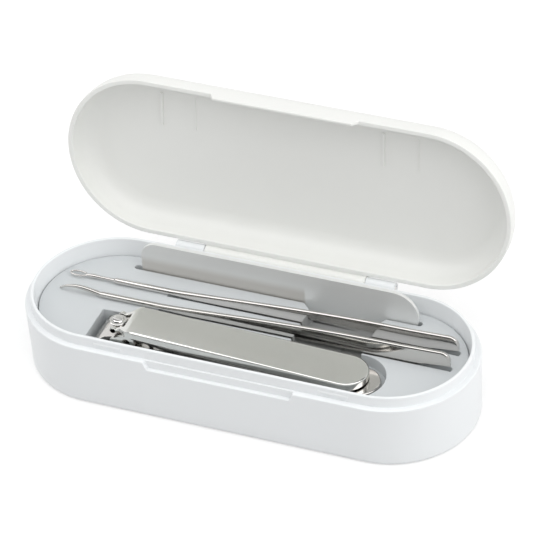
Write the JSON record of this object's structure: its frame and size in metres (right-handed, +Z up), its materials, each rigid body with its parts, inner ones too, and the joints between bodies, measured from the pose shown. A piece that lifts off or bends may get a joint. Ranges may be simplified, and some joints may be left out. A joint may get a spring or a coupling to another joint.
{
  "type": "manicure set case",
  "caption": "White pill-shaped pocket case, hinged lid open, with a tray holding a nail clipper, a nail file on edge and two slim steel picks.",
  "frame": {"origin": "centre of the base's flat underside", "axes": "+X along the case's length, +Y towards the hinge side, +Z up"},
  "size_m": [0.122, 0.0613, 0.0652],
  "materials": {
    "case_white": "moulded white plastic, fine satin gloss",
    "tray_grey": "moulded pale grey plastic, matte",
    "steel_polished": "bright nickel-plated steel",
    "steel_satin": "satin steel, faintly brushed along its length"
  },
  "bodies": {
    "base": {"base_shell": "case_white", "tray": "tray_grey", "hinge_pin": "steel_polished"},
    "lid": {"lid_shell": "case_white"},
    "nail_file": {"nail_file": "steel_satin"},
    "loop_pick": {"loop_pick": "steel_polished"},
    "hook_pick": {"hook_pick": "steel_polished"},
    "clipper": {"clipper_lower_arm": "steel_polished", "clipper_rivet": "steel_polished", "clipper_post": "steel_polished", "clipper_cross_pin": "steel_polished"},
    "clipper_upper": {"clipper_upper_arm": "steel_polished"},
    "lever": {"clipper_lever": "steel_satin"}
  },
  "joints": [
    {"name": "lid_hinge", "type": "hinge", "parent": "base", "child": "lid", "pos_m": [0, 0.02455, 0.01815], "axis": [-1, 0, 0], "range_deg": [-97.3, 0]},
    {"name": "file_lift", "type": "slide", "parent": "base", "child": "nail_file", "axis": [0, 0, 1], "range_m": [0, 0.03]},
    {"name": "loop_pick_lift", "type": "slide", "parent": "base", "child": "loop_pick", "axis": [0, 0, 1], "range_m": [0, 0.02]},
    {"name": "hook_pick_lift", "type": "slide", "parent": "base", "child": "hook_pick", "axis": [0, 0, 1], "range_m": [0, 0.02]},
    {"name": "clipper_lift", "type": "slide", "parent": "base", "child": "clipper", "axis": [0, 0, 1], "range_m": [0, 0.025]},
    {"name": "clipper_squeeze", "type": "hinge", "parent": "clipper", "child": "clipper_upper", "pos_m": [0.03185, -0.00915, 0.0139], "axis": [0, -1, 0], "range_deg": [0, 0.55], "stiffness_Nm_per_rad": 20},
    {"name": "lever_turn", "type": "hinge", "parent": "clipper", "child": "lever", "pos_m": [-0.03275, -0.00915, 0.01775], "axis": [0, -1, 0], "range_deg": [0, 150]}
  ]
}
